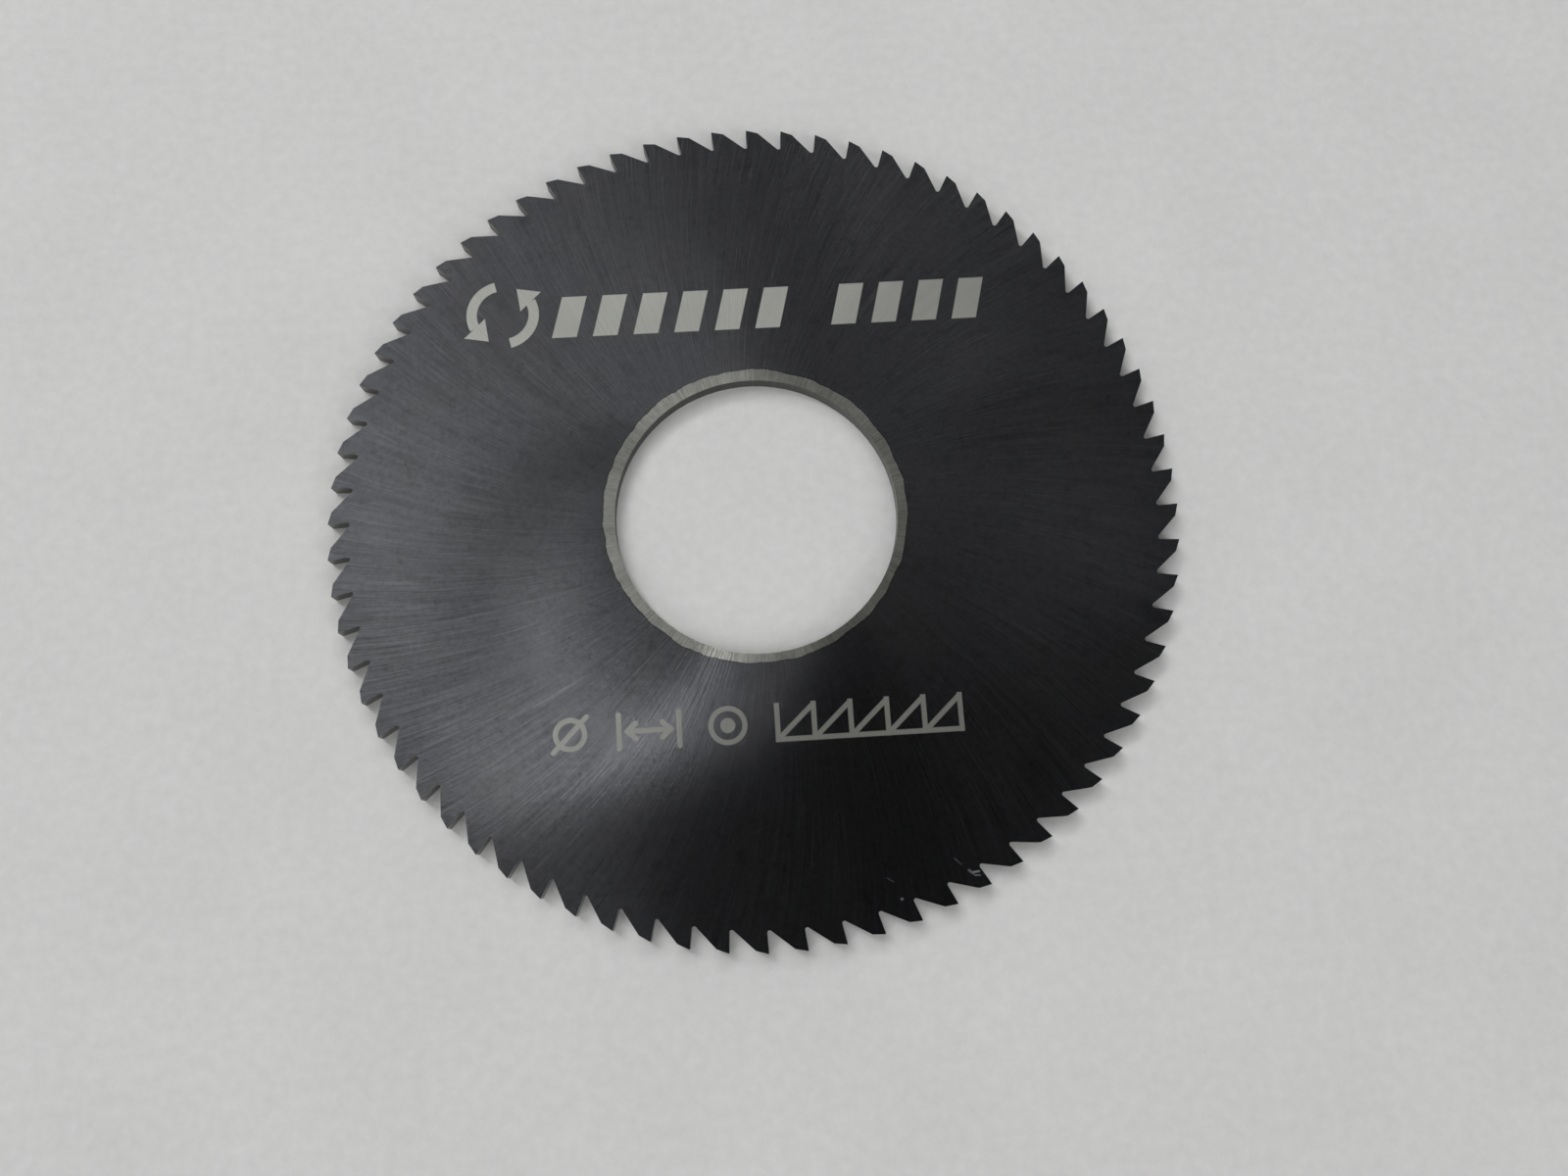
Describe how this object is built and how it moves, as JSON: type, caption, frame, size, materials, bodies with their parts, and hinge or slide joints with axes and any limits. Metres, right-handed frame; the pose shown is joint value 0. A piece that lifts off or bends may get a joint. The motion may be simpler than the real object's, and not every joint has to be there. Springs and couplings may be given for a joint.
{
  "type": "slitting saw",
  "caption": "Thin coated slitting saw with a plain arbor hole, shallow dished sides and fine hooked teeth all round the rim, for cutting narrow slots on a milling arbor.",
  "frame": {"origin": "centre of the arbor hole, at the level of the lower sides of the tooth tips, on which the saw lies", "axes": "+Z along the arbor hole, out of the marked side; the marks read along +X; the teeth point anticlockwise seen from +Z"},
  "size_m": [0.0762, 0.0762, 0.0016],
  "materials": {
    "coated_carbide": "blue-grey hard coating over radial grinding lines, with a bare ring round the hole and pale etched marks"
  },
  "bodies": {
    "root": {"slitting_saw": "coated_carbide"}
  },
  "joints": []
}
